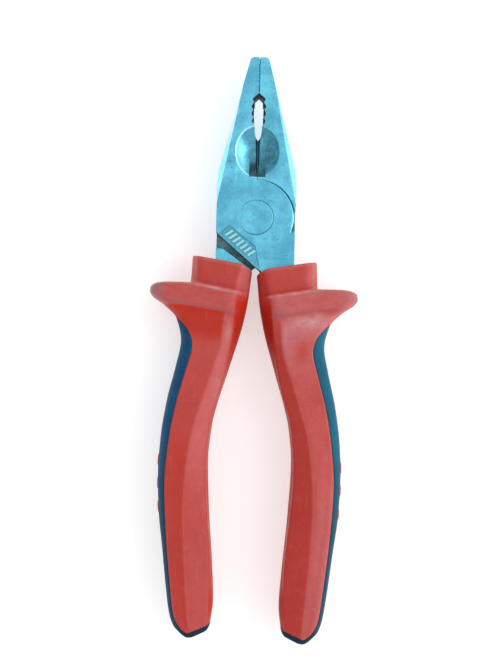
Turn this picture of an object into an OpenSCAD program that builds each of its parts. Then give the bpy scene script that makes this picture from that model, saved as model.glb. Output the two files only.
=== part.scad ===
// Combination (lineman) pliers: two forged levers crossing in a lap joint on one flush rivet,
// each with a two-colour moulded grip. They lie flat, jaws towards +Y, handles towards -Y.
// X is across the head and Z is through its thickness. Lengths are in millimetres.

/* [Head] */
// Pivot centre to jaw tip
jaw_reach = 54.5; // [52:0.5:58]
// Width of the head across the pivot
head_w = 27; // [26.5:0.1:27.6]
// Thickness of the head
head_t = 11; // [10:0.5:12]
// Width of both jaw tips together
tip_w = 6.2; // [5:0.2:8]
// Gap between the two jaw faces at the heel of the gripping zone
face_gap = 0.24; // [0.1:0.02:0.4]

/* [Gripping and cutting] */
// Distance from the pivot to the start of the pipe grip
pipe_from = 26.8; // [26:0.2:28]
// Distance from the pivot to the end of the pipe grip
pipe_to = 42.3; // [41.5:0.1:43]
// Teeth on each side of the pipe grip
pipe_teeth = 4; // [3:1:5]
// Pitch of the fine serrations at the nose
serration = 1.1; // [0.9:0.1:1.5]
// Half width of the cutter dish
dish_w = 7.6; // [7:0.1:8]
// Half length of the cutter dish
dish_l = 8.9; // [8.5:0.1:9]
// Depth of the cutter dish
dish_depth = 3.4; // [2.5:0.1:4]

/* [Joint] */
// Radius of the rivet's shank
shank_r = 4.6; // [4:0.1:5]
// Radius of the rivet's flush heads
rivet_r = 5.8; // [5.5:0.1:6.5]
// Radius of the round lap
lap_r = 12.85; // [12.7:0.01:12.9]
// Clearance round the lap
lap_gap = 0.25; // [0.15:0.05:0.3]

/* [Grips] */
// Length from the pivot to the end of a grip, measured along the outer side
grip_end = 145.4; // [144:0.2:150]
// Half thickness of the collar above the thumb guard
collar_half = 8.8; // [8:0.1:10]
// Half thickness of the thumb guard
guard_half = 11.2; // [10:0.1:13]
// How far the guard's tip stands from the tool's centre line
guard_reach = 35.7; // [33:0.1:38]
// Half thickness of the grip at the palm swell
palm_half = 10; // [9:0.1:11]
// Thickness of the soft cover where it wraps the grip's end
cover_end = 1.35; // [1:0.05:2]
// How much further down its tang the right grip sits than the left
seat_step = 1.3; // [0:0.1:2]

/* [Hidden] */
$fn = 64;

steel = [0.42, 0.72, 0.82];
rivet_steel = [0.46, 0.74, 0.84];
red = [0.76, 0.25, 0.23];
blue = [0.12, 0.36, 0.5];

half_t = head_t / 2;
half_w = head_w / 2;
big = 60;              // longer than anything it cuts
lap_split = 0.05;      // half the gap between the two laps
root_to = 24;          // where the full-thickness root ends, below the pivot
root_in = 3;           // inner side of the root inside the grip
tang_half = 4;         // half thickness of the tang inside a grip
tang_from = 22;
tang_to = 128;
tang_play = 0.1;       // clearance between tang and grip
running_fit = 0.05;    // radial clearance of the rivet in the lever that turns on it
seated_fit = 0.01;     // the same in the lever that holds it

// ---------- curves ----------

function lerp(a, b, t) = a + (b - a) * t;
function unit(t) = min(1, max(0, t));
function along(a, b, t) = [for (i = [0 : len(a) - 1]) lerp(a[i], b[i], t)];
function bezier(a, b, c, t) = along(along(a, b, t), along(b, c, t), t);

// A smooth curve through [position, value] knots that never overshoots them.
function secant(k, i) = (k[i + 1][1] - k[i][1]) / (k[i + 1][0] - k[i][0]);
function tangent(k, i) =
    i == 0 ? secant(k, 0) :
    i == len(k) - 1 ? secant(k, i - 1) :
    let (a = secant(k, i - 1), b = secant(k, i))
    a * b <= 0 ? 0 : 2 * a * b / (a + b);
function span(k, x, i = 0) = i >= len(k) - 2 || x < k[i + 1][0] ? i : span(k, x, i + 1);
function curve(k, x) =
    let (i = span(k, x), h = k[i + 1][0] - k[i][0], t = unit((x - k[i][0]) / h))
    (2 * t * t * t - 3 * t * t + 1) * k[i][1] + (t * t * t - 2 * t * t + t) * h * tangent(k, i)
    + (3 * t * t - 2 * t * t * t) * k[i + 1][1] + (t * t * t - t * t) * h * tangent(k, i + 1);

// ---------- plan of the steel, for the lever with its jaw on the left and its tang on the right ----------

// Half width of the opening between the jaws, by distance from the pivot.
pipe_knots = [
    [pipe_from, 0.05], [pipe_from + 0.9, 1.1], [pipe_from + 4.2, 1.35], [pipe_from + 9.2, 1.95],
    [pipe_to - 2.8, 1.75], [pipe_to - 0.7, 1.0], [pipe_to, face_gap / 2],
];
tooth_from = pipe_from + 4.4;
tooth_pitch = (pipe_to - 0.5 - tooth_from) / pipe_teeth;
tooth_depth = 0.62;
serration_depth = 0.2;
serrations = floor((jaw_reach - pipe_to - 1.2) / serration);
tip_round = 1.1;
side_slope = (half_w - tip_w / 2 + 0.1) / (jaw_reach - 14.5);   // how fast the jaw narrows towards its tip
shoulder_y = 18.3;      // where the jaw's straight side bends into the head's side
heel_y = 2.8;           // lowest point of the jaw behind the other lever's lap
bevel_low = [-12.65, 4.8];    // the side bevel's inner line on the face
bevel_high = [-6.1, 41.8];

function side_x(y) = -(half_w - side_slope * (y - 14.5));
function face_x(y) = -lerp(face_gap / 2, face_gap / 4, unit((y - pipe_to) / (jaw_reach - pipe_to)));
function pipe_x(y) = -curve(pipe_knots, y);

smooth_throat = [for (i = [0 : 6]) let (y = lerp(pipe_from, tooth_from, i / 7)) [pipe_x(y), y]];
pipe_grip = [for (i = [0 : pipe_teeth - 1]) let (y = tooth_from + i * tooth_pitch)
    each [[pipe_x(y), y], [pipe_x(y) - tooth_depth * 0.9, y + tooth_pitch * 0.42],
          [pipe_x(y + tooth_pitch * 0.7) - tooth_depth * 0.55, y + tooth_pitch * 0.7]]];
nose_grip = [for (i = [0 : serrations - 1]) let (y = pipe_to + 0.6 + i * serration)
    each [[face_x(y), y], [face_x(y) - serration_depth, y + serration * 0.4],
          [face_x(y), y + serration * 0.8]]];
nose_corner = [for (i = [0 : 5])
    bezier([face_x(jaw_reach) - tip_w / 2 + tip_round, jaw_reach], [side_x(jaw_reach), jaw_reach],
           [side_x(jaw_reach - tip_round * 1.4), jaw_reach - tip_round * 1.4], i / 5)];
jaw_shoulder = [for (i = [0 : 6])
    bezier([side_x(shoulder_y), shoulder_y], [-half_w, 14.5], [-half_w, 10.5], i / 6)];

jaw_plan = concat(
    [[-0.05, 5]], smooth_throat, pipe_grip, [[face_x(pipe_to), pipe_to]], nose_grip,
    [[face_x(jaw_reach), jaw_reach]], nose_corner, jaw_shoulder, [[-half_w, heel_y], [-4, heel_y]]);

// The lap's lower left edge runs on a slant from lap_corner to crotch.
lap_corner = [-half_w, -5.3];
crotch = [1.8, -18.4];
lap_step_y = -4.5;     // ledge that the other jaw's heel meets when the pliers are wide open
lap_plan = [
    [-half_w, 10.5], lap_corner, crotch, [root_in, -19], [root_in, -root_to], [half_w - 0.1, -root_to],
    [half_w - 0.1, lap_step_y], [6, lap_step_y], [0, 6], [-6, 10.5],
];
root_plan = [
    [half_w - 0.1, -11.1], [10.9, -11], [1.6, -17.8], [1.8, -18.4], [root_in, -19], [root_in, -root_to],
    [half_w - 0.1, -root_to],
];

tang_centre = [[20, 8.2], [30, 9.8], [45, 14], [60, 18.4], [88, 21.4], [110, 20.3], [128, 18.8]];
tang_width = [[20, 5.1], [30, 5.1], [45, 4.6], [60, 4.2], [88, 3.8], [110, 3.5], [128, 3.1]];
function tang_side(d, side, play) = [curve(tang_centre, d) + side * (curve(tang_width, d) + play), -d];
function tang_plan(play) = let (steps = 18, from = tang_from, to = tang_to + play) concat(
    [for (i = [0 : steps]) tang_side(lerp(from, to, i / steps), 1, play)],
    [for (i = [steps : -1 : 0]) tang_side(lerp(from, to, i / steps), -1, play)]);

// ---------- steel ----------

// Takes off everything outside and above a plane that meets the top face along p to q and falls away at 45 degrees.
module bevel(p, q) {
    t = q - p;
    translate([p.x, p.y, half_t])
        rotate([0, 0, atan2(t.y, t.x) + 90])
            rotate([0, -45, 0])
                translate([0, -big, -big / 2]) cube([big / 2, 2 * big, big]);
}

module both_faces() {
    children();
    mirror([0, 0, 1]) children();
}

// The dish that thins both jaws to a cutting edge, with the steep flanks of the blades at its centre line.
module cutter_dish() {
    rise = (dish_w * dish_w - dish_depth * dish_depth) / (2 * dish_depth);
    ball = rise + dish_depth;
    translate([0, 22.4, half_t + rise]) scale([1, dish_l / dish_w, 1]) sphere(ball, $fn = 96);
    translate([0, 22.4 + dish_l - 0.6, 0]) rotate([90, 0, 0])
        linear_extrude(2 * dish_l - 0.6) polygon([[0, 0.2], [3.2, half_t + 0.05], [-3.2, half_t + 0.05]]);
}

// Bore for the rivet, with the seat of its flush head.
module rivet_seat(fit) {
    rotate_extrude() polygon(concat([[0, -1]], [for (p = rivet_flank) [p.x + fit, p.y]],
        [[rivet_r + fit, half_t + 1], [0, half_t + 1]]));
}

// Raised slanting ribs in a shallow panel along the lap's slanting edge.
panel_depth = 0.6;
module rib_panel() {
    edge = crotch - lap_corner;
    translate([lap_corner.x, lap_corner.y, half_t - panel_depth]) rotate([0, 0, atan2(edge.y, edge.x)])
        difference() {
            linear_extrude(1) polygon([[1.2, -1], [1.6, 4.8], [13.4, 5.3], [18.6, 1.2], [18.6, -1]]);
            for (i = [0 : 5]) translate([3.2 + 1.9 * i, 1.3, -1])
                rotate([0, 0, -12]) cube([0.8, 2.6, 1 + panel_depth - 0.08]);
        }
}

module jaw() {
    difference() {
        translate([0, 0, -half_t]) linear_extrude(head_t) polygon(jaw_plan);
        translate([0, 0, -big]) cylinder(r = lap_r + lap_gap, h = big + lap_split);
        both_faces() {
            bevel(bevel_low, bevel_high);
            cutter_dish();
        }
    }
}

module lap() {
    translate([0, 0, lap_split]) difference() {
        linear_extrude(half_t - lap_split) union() {
            circle(lap_r, $fn = 128);
            polygon(lap_plan);
        }
        translate([0, 0, -lap_split]) {
            bevel(bevel_low, bevel_high);
            bevel(crotch, lap_corner + (lap_corner - crotch));
            rib_panel();
        }
    }
}

module root_and_tang() {
    translate([0, 0, -half_t]) linear_extrude(head_t) polygon(root_plan);
    translate([0, 0, -tang_half]) linear_extrude(2 * tang_half) polygon(tang_plan(0));
}

module lever(fit) {
    difference() {
        union() {
            jaw();
            lap();
            root_and_tang();
        }
        rivet_seat(fit);
    }
}

head_land = 0.45;
head_cone = 1.2;
rim = 0.2;
rivet_flank = [
    [shank_r, 0], [shank_r, half_t - head_land - head_cone], [rivet_r, half_t - head_land],
];

module upper_lever() color(steel) lever(running_fit);
module lower_lever() color(steel) rotate([0, 180, 0]) lever(seated_fit);
module pivot_rivet() color(rivet_steel) rotate_extrude() polygon(concat(
    [[0, -half_t], [rivet_r - rim, -half_t], [rivet_r, rim - half_t]],
    [for (i = [len(rivet_flank) - 1 : -1 : 0]) [rivet_flank[i].x, -rivet_flank[i].y]],
    [for (i = [1 : len(rivet_flank) - 1]) rivet_flank[i]],
    [[rivet_r, half_t - rim], [rivet_r - rim, half_t], [0, half_t]]));

// ---------- grips ----------
// A grip is lofted through slanting sections. d is the distance below the pivot where a section
// crosses the line x = hinge_x, and tilt is the section's slope there.

grip_from = 15.1;
hinge_x = 22;
guard_from = 23.9;
cover_from = 34.6;
tilt_knots = [
    [grip_from, 0.17], [30, 0.17], [50, 0.1], [88, 0], [125, -0.08], [136, -0.2], [grip_end, -0.42],
];
inner_knots = [
    [grip_from, 0.85], [24.8, 1.75], [35.4, 3.6], [46, 6.3], [56, 9.1], [64, 11.4], [72, 13.2], [84, 14.3],
    [102, 13.55], [122, 11.95], [135, 11.3], [grip_end, 12.2],
];
outer_knots = [
    [grip_from, 21.4], [guard_from, 21.9], [24.5, guard_reach - 4.2], [25.2, guard_reach - 1.5],
    [26.4, guard_reach - 0.2], [28, guard_reach], [29.4, guard_reach - 1.1], [32.4, 30.3], [36.4, 26.5], [44, 24.7], [52, 26.1],
    [64, 28.9], [77, 30.8], [88, 31.4], [100, 31], [115, 29.3], [130, 27.5], [137, 26.4],
    [141, 24.9], [grip_end - 1.6, 22.1], [grip_end, 20.2],
];
// Ridge between the broad face and the sloping inner facet, and the ridge inside that one.
face_ridge = [[grip_from, 4.6], [28, 7.3], [34, 9.6], [43, 10.4], [58, 14.8], [78, 20.2], [98, 21.9], [grip_end, 19]];
inner_ridge = [[grip_from, 3.4], [28, 6.1], [43, 7.6], [57, 9.8], [72, 13.8], [88, 14.9], [122, 12.6], [grip_end, 13]];
half_knots = [
    [grip_from, collar_half], [guard_from, collar_half], [40, 8.4], [88, palm_half], [130, 8.8], [grip_end, 8],
];
// Height of the inner edge and of the inner ridge, as parts of the half thickness.
edge_part = [[grip_from, 0.68], [24.6, 0.64], [33, 0.42], [44, 0.24], [70, 0.3], [130, 0.42], [grip_end, 0.55]];
ridge_part = [[grip_from, 0.92], [34, 0.88], [50, 0.76], [130, 0.76], [grip_end, 0.8]];
side_round = 5;        // how far the outer rounding reaches in from the side

function tilt_at(d, x) = let (k = curve(tilt_knots, d)) (x < hinge_x ? k : 0.3 * k) * (x - hinge_x);
lift_knots = [[22.9, 0], [24.3, 1], [30.7, 1], [31.6, 0.8], [33.2, 0.38], [36.5, 0]];
function guard_lift(d) = (guard_half - collar_half) * curve(lift_knots, d);
function half_at(d) = curve(half_knots, d) + guard_lift(d);
function rounding(a) = [pow(sin(a), 0.8), pow(cos(a), 0.8)];
function section(d) =
    let (
        h = half_at(d), inner = curve(inner_knots, d), outer = curve(outer_knots, d),
        ridge = min(curve(face_ridge, d), outer - 1.2),
        low = min(curve(inner_ridge, d), ridge - 0.4),
        reach = min(side_round, 0.8 * (outer - ridge)),
        upper = concat(
            [[inner, h * curve(edge_part, d)], [low, h * curve(ridge_part, d)], [ridge, h]],
            [for (a = [0, 25, 45, 65, 80]) [outer - reach + reach * rounding(a)[0], h * rounding(a)[1]]]),
        ring = concat(upper, [[outer, 0]], [for (i = [len(upper) - 1 : -1 : 0]) [upper[i].x, -upper[i].y]]))
    [for (p = ring) [p.x, tilt_at(d, p.x) - d, p.y]];

stations = concat(
    [grip_from, 18.5, 22.9, guard_from, 24.2, 24.5, 25.2, 26.4, 27.2, 28, 28.7, 29.4, 30.7, 31.6, 32.4, 33.2, 35],
    [for (d = [38 : 6 : 134]) d],
    [137, 139, 141, 142.6, grip_end - 1.6, grip_end - 0.8, grip_end]);

module loft(rings) {
    n = len(rings[0]);
    last = len(rings) - 1;
    polyhedron(
        points = [for (r = rings) each r],
        faces = concat(
            [[for (i = [n - 1 : -1 : 0]) i]],
            [for (j = [0 : last - 1], i = [0 : n - 1]) let (k = (i + 1) % n)
                each [[j * n + i, (j + 1) * n + k, (j + 1) * n + i], [j * n + i, j * n + k, (j + 1) * n + k]]],
            [[for (i = [0 : n - 1]) last * n + i]]));
}

module grip_body() loft([for (d = stations) section(d)]);

// Plan of the hard core. The soft cover is what lies outside it: a strip along the grip's back and its end.
cover_knots = [
    [cover_from, 28.6], [37.5, 24.9], [41.5, 21.5], [45.5, 20.6], [53, 22.3], [64, 25.3], [77, 27.6],
    [91, 28.8], [105, 28.2], [128, 26.1], [139, 24.9],
];
core_end = grip_end - cover_end;
core_plan = concat(
    [[45, 0], [45, -cover_from]],
    [for (i = [0 : 24]) let (d = lerp(cover_from, 139, i / 24)) [curve(cover_knots, d), -d]],
    [for (i = [1 : 4]) bezier([24.9, -139], [24, 0.6 - core_end], [20.2, 0.75 - core_end], i / 4)],
    [[10, 5.05 - core_end], [-5, 5.05 - core_end], [-5, 0]]);

module core_region() translate([0, 0, -big / 2]) linear_extrude(big) polygon(core_plan);

// Oval pads of the core that stand out through windows in the cover.
pad_stand = 0.3;
module pads(play) {
    for (d = [85, 93, 101]) translate([25, -d, 0]) rotate([0, 90, 0])
        linear_extrude(curve(outer_knots, d) + pad_stand - 25) union() {
            for (s = [-1, 1]) translate([2 * s, 0]) circle(2.2 + play, $fn = 48);
            square([4, 4.4 + 2 * play], center = true);
        }
}

module tang_cavity() {
    translate([0, 0, -tang_half - tang_play]) linear_extrude(2 * (tang_half + tang_play)) polygon(tang_plan(tang_play));
    translate([0, 0, -half_t - tang_play]) linear_extrude(head_t + 2 * tang_play)
        polygon([[root_in - tang_play, 0], [root_in - tang_play, -root_to - tang_play],
                 [half_w, -root_to - tang_play], [half_w, 0]]);
}

module grip_core(seat) color(red) difference() {
    translate([0, seat, 0]) union() {
        intersection() {
            grip_body();
            core_region();
        }
        pads(0);
    }
    tang_cavity();
}

module grip_cover(seat) color(blue) translate([0, seat, 0]) difference() {
    grip_body();
    core_region();
    pads(0.02);
}

module right_grip_core() grip_core(0);
module right_grip_cover() grip_cover(0);
module left_grip_core() rotate([0, 180, 0]) grip_core(seat_step);
module left_grip_cover() rotate([0, 180, 0]) grip_cover(seat_step);

// The frame's origin is on the pivot axis, at the head's back face.
module placed() translate([0, 0, half_t]) children();

placed() upper_lever();
placed() lower_lever();
placed() pivot_rivet();
placed() right_grip_core();
placed() right_grip_cover();
placed() left_grip_core();
placed() left_grip_cover();
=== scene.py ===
"""Lineman pliers, closed and lying flat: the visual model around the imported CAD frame.

Shapes are worked out in millimetres in the tool's own frame (pivot on the Z axis, mid plane at z = 0,
jaws towards +Y) and turned into metres when a mesh is made. Both levers have one shape, and so have
both grips: the second of each pair is the first turned half round about Y.
"""

from math import asin, cos, degrees, pi, radians, sin, sqrt

import bmesh
import bpy
import numpy as np
from mathutils import Matrix, Vector


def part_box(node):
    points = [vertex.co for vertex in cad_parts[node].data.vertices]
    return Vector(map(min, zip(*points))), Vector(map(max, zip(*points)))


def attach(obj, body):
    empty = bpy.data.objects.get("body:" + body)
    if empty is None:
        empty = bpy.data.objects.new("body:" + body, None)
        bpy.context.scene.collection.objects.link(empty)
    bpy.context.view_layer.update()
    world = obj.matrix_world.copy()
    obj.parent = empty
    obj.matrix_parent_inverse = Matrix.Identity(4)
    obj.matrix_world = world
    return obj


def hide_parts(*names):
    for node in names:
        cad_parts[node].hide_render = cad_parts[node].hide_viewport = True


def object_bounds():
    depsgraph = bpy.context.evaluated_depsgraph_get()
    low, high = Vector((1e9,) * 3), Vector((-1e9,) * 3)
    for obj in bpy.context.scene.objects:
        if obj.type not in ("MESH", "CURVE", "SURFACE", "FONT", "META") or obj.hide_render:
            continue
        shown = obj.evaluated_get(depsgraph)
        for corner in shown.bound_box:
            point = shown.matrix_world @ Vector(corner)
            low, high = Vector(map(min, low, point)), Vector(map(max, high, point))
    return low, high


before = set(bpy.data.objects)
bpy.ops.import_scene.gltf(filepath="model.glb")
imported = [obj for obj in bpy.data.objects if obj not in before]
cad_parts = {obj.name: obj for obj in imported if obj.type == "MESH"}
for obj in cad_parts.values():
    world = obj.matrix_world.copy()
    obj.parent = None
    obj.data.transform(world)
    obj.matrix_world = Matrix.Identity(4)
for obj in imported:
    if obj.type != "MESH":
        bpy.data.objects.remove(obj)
cad_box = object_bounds()

MM = 0.001
lever_low, lever_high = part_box("upper_lever")
rivet_low, rivet_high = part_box("pivot_rivet")
grip_low, grip_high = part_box("right_grip_core")
_, left_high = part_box("left_grip_core")

HALF_T = (rivet_high.z - rivet_low.z) / 2 / MM
MID_Z = (rivet_high.z + rivet_low.z) / 2 / MM
JAW_REACH = lever_high.y / MM
HALF_W = -lever_low.x / MM
RIVET_R = rivet_high.x / MM
GUARD_REACH = grip_high.x / MM
GUARD_HALF = (grip_high.z - grip_low.z) / 2 / MM
SEAT_STEP = (left_high.y - grip_high.y) / MM

MERGE = 0.004
HALF_TURN = Matrix.Rotation(pi, 4, "Y")
LIFT = Matrix.Translation((0, 0, MID_Z * MM))


# ---------- curves ----------


def unit(t):
    return np.clip(t, 0.0, 1.0)


def ramp(x, start, stop):
    t = unit((np.asarray(x, float) - start) / (stop - start))
    return t * t * (3 - 2 * t)


def curve(knots, x):
    """A smooth curve through (position, value) knots that never overshoots them."""
    k = np.array(knots, float)
    x = np.asarray(x, float)
    step = np.diff(k[:, 0])
    slope = np.diff(k[:, 1]) / step
    tangent = np.empty(len(k))
    tangent[0], tangent[-1] = slope[0], slope[-1]
    a, b = slope[:-1], slope[1:]
    same = a * b > 0
    tangent[1:-1] = np.where(same, 2 * a * b / np.where(same, a + b, 1), 0)
    i = np.clip(np.searchsorted(k[:, 0], x, side="right") - 1, 0, len(k) - 2)
    t = unit((x - k[i, 0]) / step[i])
    h = step[i]
    return (
        (2 * t**3 - 3 * t**2 + 1) * k[i, 1]
        + (t**3 - 2 * t**2 + t) * h * tangent[i]
        + (3 * t**2 - 2 * t**3) * k[i + 1, 1]
        + (t**3 - t**2) * h * tangent[i + 1]
    )


def bezier(a, b, c, count):
    t = np.linspace(0, 1, count)[:, None]
    a, b, c = (np.array(p, float) for p in (a, b, c))
    return [tuple(p) for p in (1 - t) ** 2 * a + 2 * t * (1 - t) * b + t**2 * c]


def arc(radius, start, stop, count, centre=(0, 0)):
    """Points on a circle, angles in degrees."""
    return [
        (centre[0] + radius * cos(radians(a)), centre[1] + radius * sin(radians(a)))
        for a in np.linspace(start, stop, count)
    ]


# ---------- meshes ----------


def new_object(name, mesh):
    obj = bpy.data.objects.new(name, mesh)
    bpy.context.scene.collection.objects.link(obj)
    return obj


def mesh_object(name, verts, faces):
    """verts are in millimetres."""
    mesh = bpy.data.meshes.new(name)
    mesh.from_pydata([tuple(np.array(v, float) * MM) for v in verts], [], [tuple(f) for f in faces])
    mesh.validate()
    return new_object(name, mesh)


def reworked(obj, *steps):
    """Runs steps of mesh editing on an object."""
    bm = bmesh.new()
    bm.from_mesh(obj.data)
    for step in steps:
        step(bm)
    bm.to_mesh(obj.data)
    bm.free()
    return obj


def outward(obj):
    return reworked(obj, lambda bm: bmesh.ops.recalc_face_normals(bm, faces=bm.faces))


def loft(name, rings):
    """A solid through rings of points. A ring may be one point, and an open end is capped."""
    faces, start = [], 0
    for ring, following in zip(rings, rings[1:]):
        n, m = len(ring), len(following)
        after, count = start + n, max(n, m)
        for k in range(count):
            j = (k + 1) % count
            corners = (start + k % n, start + j % n, after + j % m, after + k % m)
            faces.append(tuple(dict.fromkeys(corners)))
        start = after
    for ring, first in ((rings[0], 0), (rings[-1], start)):
        if len(ring) > 1:
            faces.append(range(first, first + len(ring)))
    return outward(mesh_object(name, [point for ring in rings for point in ring], faces))


def prism(name, outline, low, high):
    return loft(name, [[(x, y, z) for x, y in outline] for z in (low, high)])


def turns(count, first=0.0):
    """Angles all round a circle."""
    return [2 * pi * (i + first) / count for i in range(count)]


def lathe(name, profile, count=128):
    """profile is a list of (radius, z), from axis to axis."""
    rings = [[(r * cos(a), r * sin(a), z) for a in turns(count)] for r, z in profile[1:-1]]
    return loft(name, [[(0, 0, profile[0][1])], *rings, [(0, 0, profile[-1][1])]])


def combine(target, tool, operation):
    modifier = target.modifiers.new("cut", "BOOLEAN")
    modifier.operation = operation
    modifier.solver = "EXACT"
    modifier.object = tool
    bpy.context.view_layer.update()
    graph = bpy.context.evaluated_depsgraph_get()
    mesh = bpy.data.meshes.new_from_object(target.evaluated_get(graph))
    target.modifiers.clear()
    old = target.data
    target.data = mesh
    bpy.data.meshes.remove(old)
    bpy.data.objects.remove(tool)
    return target


def cut(target, *tools):
    for tool in tools:
        combine(target, tool, "DIFFERENCE")
    return target


def join(target, *tools):
    for tool in tools:
        combine(target, tool, "UNION")
    return target


def merge_into(target, *others):
    """Puts other meshes into one object as separate shells."""
    reworked(target, *[lambda bm, obj=obj: bm.from_mesh(obj.data) for obj in others])
    for obj in others:
        bpy.data.objects.remove(obj)
    return target


def mirrored(obj):
    """A copy of a tool for the other face."""
    twin = new_object(obj.name + "_twin", obj.data.copy())
    twin.data.transform(Matrix.Scale(-1, 4, (0, 0, 1)))
    twin.data.flip_normals()
    return twin


def smooth(obj, angle):
    for polygon in obj.data.polygons:
        polygon.use_smooth = True
    obj.data.set_sharp_from_angle(angle=radians(angle))
    return obj


def tidy(obj):
    """Merges doubled points and drops slivers."""
    return reworked(
        obj,
        lambda bm: bmesh.ops.remove_doubles(bm, verts=bm.verts, dist=MERGE * MM),
        lambda bm: bmesh.ops.dissolve_degenerate(bm, edges=bm.edges, dist=MERGE * MM),
    )


# ---------- steel ----------

TIP_W = 6.2
TAPER_FROM = 14.5
FACE_GAP = 0.02
SLOT_HALF, SLOT_DEPTH = 0.15, 1.5
PIPE_FROM, PIPE_TO = 26.8, 42.3
TEETH = 4
TOOTH_DEPTH = 0.6
SERRATION, SERRATION_DEPTH = 1.1, 0.16
LAP_R = 12.85
LAP_SPLIT = 0.05
SEAM_R, SEAM_SHIFT = 12.895, 0.36
LAP_CORNER = (-HALF_W, -5.3)
CROTCH = (1.8, -18.4)
LEDGE_Y = -4.5
LAP_START = degrees(asin(LEDGE_Y / LAP_R))
HEEL_Y = 2.8
ROOT_IN, ROOT_OUT, ROOT_TO = 3.0, HALF_W - 0.1, 24.0
DISH_Y, DISH_W, DISH_L, DISH_DEPTH = 22.4, 7.6, 8.9, 3.4
BREAK_W, BREAK_DROP = 0.34, 0.16
BEVEL_LINE, SLANT_INSET = ((-13.4, 4.8), (-6.05, 41.8)), 0.3
# Dents: where they lie, how long they are and how they are turned, in degrees.
NICKS = [
    (-9.9, 24.0, 1.7, -12), (-9.4, 18.8, 1.9, -8), (-6.4, 13.6, 1.2, 70), (-3.9, 33.8, 0.9, 55),
    (7.4, -7.4, 1.3, 20), (-7.2, 6.2, 1.0, -50), (10.4, -12.8, 1.6, 8),
]
NICK_HALF_W, NICK_DEPTH = 0.11, 0.12
# The panel's outline along and away from the lap's slanting edge.
PANEL = [(1.2, -1), (1.6, 4.8), (13.4, 5.3), (18.6, 1.2), (19.5, -1)]
PANEL_DEPTH = 0.6
RIB_COUNT, RIB_FROM, RIB_PITCH, RIB_W, RIB_DROP = 7, 2.8, 1.7, 0.8, 0.06
TANG_HALF, TANG_FROM, TANG_TO = 4.0, 22.0, 128.0
TANG_PLAY = 0.1
SHANK_R, RIVET_RIM = 4.6, 0.09
RUNNING_FIT, SEATED_FIT = 0.05, 0.01
SIDE_SLOPE = (HALF_W - TIP_W / 2 + 0.1) / (JAW_REACH - TAPER_FROM)
PIPE_KNOTS = [
    (PIPE_FROM, 0.012), (PIPE_FROM + 0.9, 0.9), (PIPE_FROM + 4.2, 1.3), (PIPE_FROM + 9.2, 1.6),
    (PIPE_TO - 2.8, 1.3), (PIPE_TO - 0.7, 0.6), (PIPE_TO, FACE_GAP / 2),
]
TANG_CENTRE = [(20, 8.2), (30, 9.8), (45, 14), (60, 18.4), (88, 21.4), (110, 20.3), (128, 18.8)]
TANG_WIDTH = [(20, 5.1), (30, 5.1), (45, 4.6), (60, 4.2), (88, 3.8), (110, 3.5), (128, 3.1)]


def side_x(y):
    """The outer edge of the left jaw's taper."""
    return -(HALF_W - SIDE_SLOPE * (y - TAPER_FROM))


def jaw_edge():
    """The inner edge of the left jaw, from the throat to the tip."""
    points = []
    tooth_from = PIPE_FROM + 4.4
    for y in np.linspace(PIPE_FROM, tooth_from, 14)[:-1]:
        points.append((-float(curve(PIPE_KNOTS, y)), y))
    pitch = (PIPE_TO - 0.5 - tooth_from) / TEETH
    for i in range(TEETH):
        y = tooth_from + i * pitch
        tip, back = float(curve(PIPE_KNOTS, y)), float(curve(PIPE_KNOTS, y + pitch * 0.7))
        points += [(-tip, y - pitch * 0.05), (-tip, y + pitch * 0.05)]
        points.append((-tip - TOOTH_DEPTH * 0.9, y + pitch * 0.42))
        points.append((-back - TOOTH_DEPTH * 0.75, y + pitch * 0.62))
    points.append((-FACE_GAP / 2, PIPE_TO))
    count = int((JAW_REACH - PIPE_TO - 1.2) / SERRATION)
    for i in range(count):
        y = PIPE_TO + 0.6 + i * SERRATION
        x = -FACE_GAP / 2
        points += [(x, y), (x - SERRATION_DEPTH, y + SERRATION * 0.4), (x, y + SERRATION * 0.8)]
    points.append((-FACE_GAP / 2, JAW_REACH - 0.25))
    points.append((-FACE_GAP / 2 - 0.15, JAW_REACH))
    return points


def jaw_back():
    """The outer edge of the left jaw, from the tip down to its full width."""
    tip_x = -FACE_GAP / 4 - TIP_W / 2
    corner = bezier((tip_x + 1.1, JAW_REACH), (side_x(JAW_REACH), JAW_REACH),
                    (side_x(JAW_REACH - 1.5), JAW_REACH - 1.5), 8)
    high, low = TAPER_FROM + 3.8, TAPER_FROM - 4
    shoulder = bezier((side_x(high), high), (-HALF_W, TAPER_FROM), (-HALF_W, low), 14)
    return corner + shoulder


def upper_outline():
    """Jaw, round lap and root in one, above the parting plane."""
    root = [(ROOT_IN, -19), (ROOT_IN, -ROOT_TO), (ROOT_OUT, -ROOT_TO), (ROOT_OUT, LEDGE_Y)]
    return jaw_edge() + jaw_back() + [LAP_CORNER, CROTCH] + root + arc(LAP_R, LAP_START, 90.06, 90)


def lower_jaw_outline():
    """The jaw below the parting plane, hollowed to clear the other lever's lap."""
    heel = 180 - degrees(asin(HEEL_Y / SEAM_R))
    hollow = arc(SEAM_R, heel, 89.4, 70, (-SEAM_SHIFT, 0))
    return jaw_edge() + jaw_back() + [(-HALF_W, HEEL_Y)] + hollow


def root_outline():
    """The part of the lever below the parting plane that carries on into the grip."""
    shelf = [(ROOT_OUT, -11.1), (12.2, -10.9), (10.9, -11.1), (6, -14.6), (1.6, -17.8), CROTCH]
    return shelf + [(ROOT_IN, -19), (ROOT_IN, -ROOT_TO), (ROOT_OUT, -ROOT_TO)]


def tang_outline(play=0.0):
    d = np.linspace(TANG_FROM, TANG_TO + play, 50)
    centre, width = curve(TANG_CENTRE, d), curve(TANG_WIDTH, d) + play
    right = list(zip(centre + width, -d))
    left = list(zip(centre - width, -d))
    return right + left[::-1]


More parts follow.
